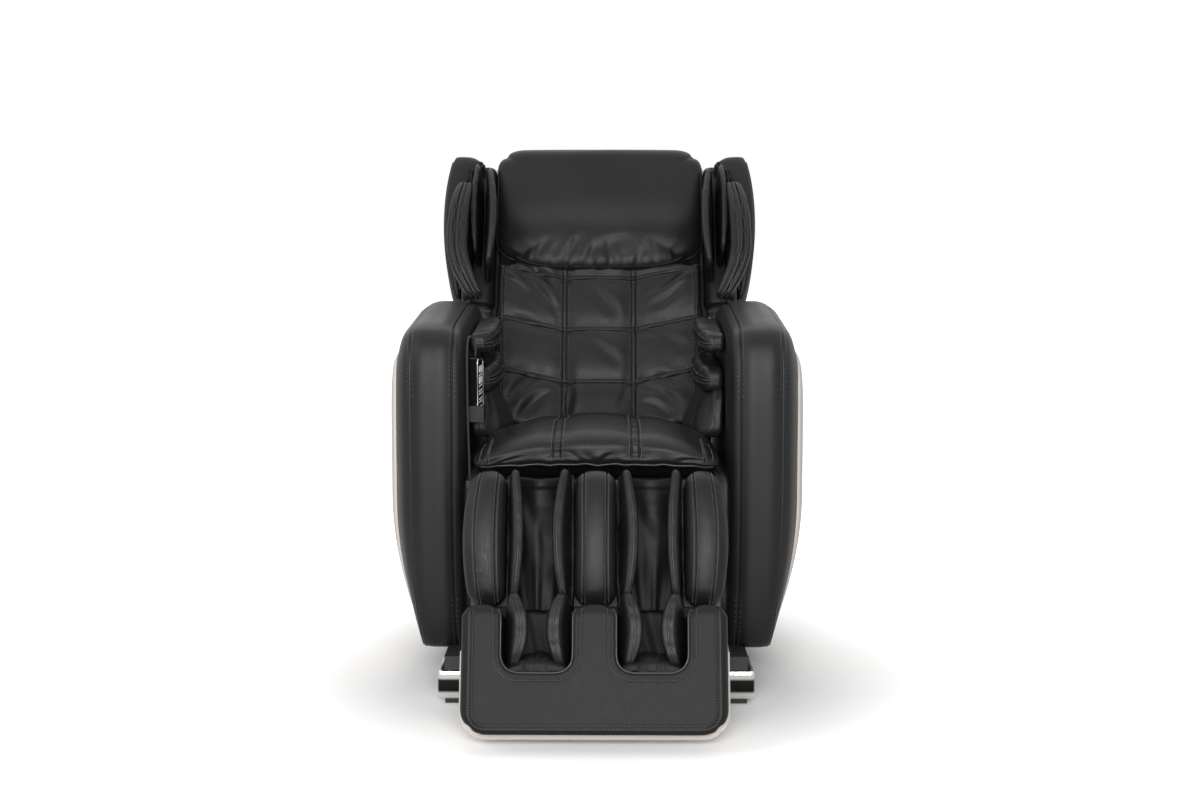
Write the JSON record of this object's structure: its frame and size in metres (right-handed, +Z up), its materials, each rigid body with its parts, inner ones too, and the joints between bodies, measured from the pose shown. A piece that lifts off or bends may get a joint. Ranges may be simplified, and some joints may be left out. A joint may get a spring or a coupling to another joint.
{
  "type": "massage chair",
  "caption": "Reclining massage chair with padded arms, quilted back, shoulder wings, flip-up head pillow, hand control and a lifting leg rest with calf troughs and foot wells.",
  "frame": {"origin": "on the floor, under the middle of the chair's outline at rest", "axes": "+Z up, the sitter faces -Y, +X to the right of a viewer who stands in front of the chair"},
  "size_m": [0.882, 1.4281, 1.1245],
  "materials": {
    "black_leather": "smooth semi-matt",
    "greige_shell": "satin",
    "chrome": "polished",
    "black_steel": "powder coat",
    "black_plastic": "fine texture",
    "gloss_black": "gloss",
    "bare_steel": "ground",
    "rubber": "matt",
    "key_white": "matt"
  },
  "bodies": {
    "base": {"base_frame": "black_steel", "recline_shaft": "bare_steel", "leg_shaft": "bare_steel", "front_foot_left": "chrome", "front_foot_right": "chrome", "seat_cushion": "black_leather", "arm_left": "black_leather", "arm_right": "black_leather", "side_shell_left": "greige_shell", "side_shell_right": "greige_shell", "upper_arm_pad_left": "black_leather", "upper_arm_pad_right": "black_leather", "lower_arm_pad_left": "black_leather", "lower_arm_pad_right": "black_leather", "hip_pad_left": "black_leather", "hip_pad_right": "black_leather", "remote_holder": "black_plastic", "remote_cable": "rubber", "control_box": "black_plastic", "air_pump": "black_plastic"},
    "backrest": {"back_frame": "black_steel", "back_shell": "greige_shell", "back_cushion": "black_leather", "wing_left": "black_leather", "wing_right": "black_leather", "inner_pad_left": "black_leather", "inner_pad_right": "black_leather", "middle_pad_left": "black_leather", "middle_pad_right": "black_leather", "outer_pad_left": "black_leather", "outer_pad_right": "black_leather"},
    "pillow": {"head_pillow": "black_leather"},
    "carriage": {"roller_carriage": "black_plastic"},
    "kneader_left": {"kneading_head_left": "black_plastic"},
    "kneader_right": {"kneading_head_right": "black_plastic"},
    "leg_rest": {"calf_shell": "black_plastic", "calf_pillow_left": "black_leather", "calf_pillow_centre": "black_leather", "calf_pillow_right": "black_leather", "calf_flap_left_inner": "black_leather", "calf_flap_left_outer": "black_leather", "calf_flap_right_inner": "black_leather", "calf_flap_right_outer": "black_leather"},
    "foot_rest": {"foot_housing": "black_leather", "foot_shell": "greige_shell", "foot_pad_left_inner": "black_leather", "foot_pad_left_outer": "black_leather", "foot_pad_right_inner": "black_leather", "foot_pad_right_outer": "black_leather"},
    "sole_roller": {"sole_roller": "rubber"},
    "wheel_left": {"rear_wheel_left": "rubber"},
    "wheel_right": {"rear_wheel_right": "rubber"},
    "rocker": {"power_switch": "gloss_black"},
    "hand_control": {"remote": "gloss_black"},
    "power_button": {"power_key": "key_white"},
    "program_button": {"program_key": "key_white"},
    "back_drive": {"back_actuator": "black_plastic"},
    "back_drive_rod": {"back_actuator_rod": "bare_steel"},
    "leg_drive": {"leg_actuator": "black_plastic"},
    "leg_drive_rod": {"leg_actuator_rod": "bare_steel"}
  },
  "joints": [
    {"name": "recline", "type": "hinge", "parent": "base", "child": "backrest", "pos_m": [0, 0.185, 0.38], "axis": [-1, 0, 0], "range_deg": [0, 50]},
    {"name": "pillow_flip", "type": "hinge", "parent": "backrest", "child": "pillow", "pos_m": [0, 0.52237, 1.11863], "axis": [-1, 0, 0], "range_deg": [0, 110]},
    {"name": "roller_travel", "type": "slide", "parent": "backrest", "child": "carriage", "axis": [0, 0.4226, 0.9063], "range_m": [0, 0.5]},
    {"name": "knead_left", "type": "hinge", "parent": "carriage", "child": "kneader_left", "pos_m": [-0.062, 0.28886, 0.54121], "axis": [0, 0.9063, -0.4226], "range_deg": [-12, 12]},
    {"name": "knead_right", "type": "hinge", "parent": "carriage", "child": "kneader_right", "pos_m": [0.062, 0.28886, 0.54121], "axis": [0, 0.9063, -0.4226], "range_deg": [-12, 12]},
    {"name": "leg_lift", "type": "hinge", "parent": "base", "child": "leg_rest", "pos_m": [0, -0.37, 0.44], "axis": [-1, 0, 0], "range_deg": [0, 60]},
    {"name": "foot_extend", "type": "slide", "parent": "leg_rest", "child": "foot_rest", "axis": [0, -0.342, -0.9397], "range_m": [0, 0.13]},
    {"name": "sole_roller_spin", "type": "hinge", "parent": "foot_rest", "child": "sole_roller", "pos_m": [0, -0.60326, 0.07688], "axis": [1, 0, 0], "continuous": true},
    {"name": "wheel_left_spin", "type": "hinge", "parent": "base", "child": "wheel_left", "pos_m": [-0.288, 0.468, 0.034], "axis": [1, 0, 0], "continuous": true},
    {"name": "wheel_right_spin", "type": "hinge", "parent": "base", "child": "wheel_right", "pos_m": [0.288, 0.468, 0.034], "axis": [1, 0, 0], "continuous": true},
    {"name": "power_rocker", "type": "hinge", "parent": "base", "child": "rocker", "pos_m": [0.11, 0.3325, 0.1298], "axis": [1, 0, 0], "range_deg": [0, 16]},
    {"name": "remote_lift", "type": "slide", "parent": "base", "child": "hand_control", "axis": [0, 0, 1], "range_m": [0, 0.06], "deforming": ["remote_cable"]},
    {"name": "power_key_press", "type": "slide", "parent": "hand_control", "child": "power_button", "axis": [-0.9781, 0.2079, 0], "range_m": [0, 0.001], "stiffness_N_per_m": 300},
    {"name": "program_key_press", "type": "slide", "parent": "hand_control", "child": "program_button", "axis": [-0.9781, 0.2079, 0], "range_m": [0, 0.001], "stiffness_N_per_m": 300},
    {"name": "back_drive_swing", "type": "hinge", "parent": "base", "child": "back_drive", "pos_m": [-0.06, -0.15, 0.19], "axis": [1, 0, 0], "range_deg": [0, 8.98]},
    {"name": "back_drive_stroke", "type": "slide", "parent": "back_drive", "child": "back_drive_rod", "axis": [0, 0.9867, 0.1627], "range_m": [-0.1027, 0]},
    {"name": "leg_drive_swing", "type": "hinge", "parent": "base", "child": "leg_drive", "pos_m": [0.06, 0.06, 0.19], "axis": [-1, 0, 0], "range_deg": [0, 1.92]},
    {"name": "leg_drive_stroke", "type": "slide", "parent": "leg_drive", "child": "leg_drive_rod", "axis": [0, -0.9486, 0.3165], "range_m": [0, 0.1075]}
  ],
  "couplings": [
    {"joint": "knead_right", "follows": "knead_left", "ratio": -1},
    {"joint": "back_drive_swing", "follows": "recline", "ratio": 0.17608},
    {"joint": "back_drive_stroke", "follows": "recline", "m_per_rad": -0.11654},
    {"joint": "leg_drive_swing", "follows": "leg_lift", "ratio": 0.03131},
    {"joint": "leg_drive_stroke", "follows": "leg_lift", "m_per_rad": 0.10165}
  ]
}
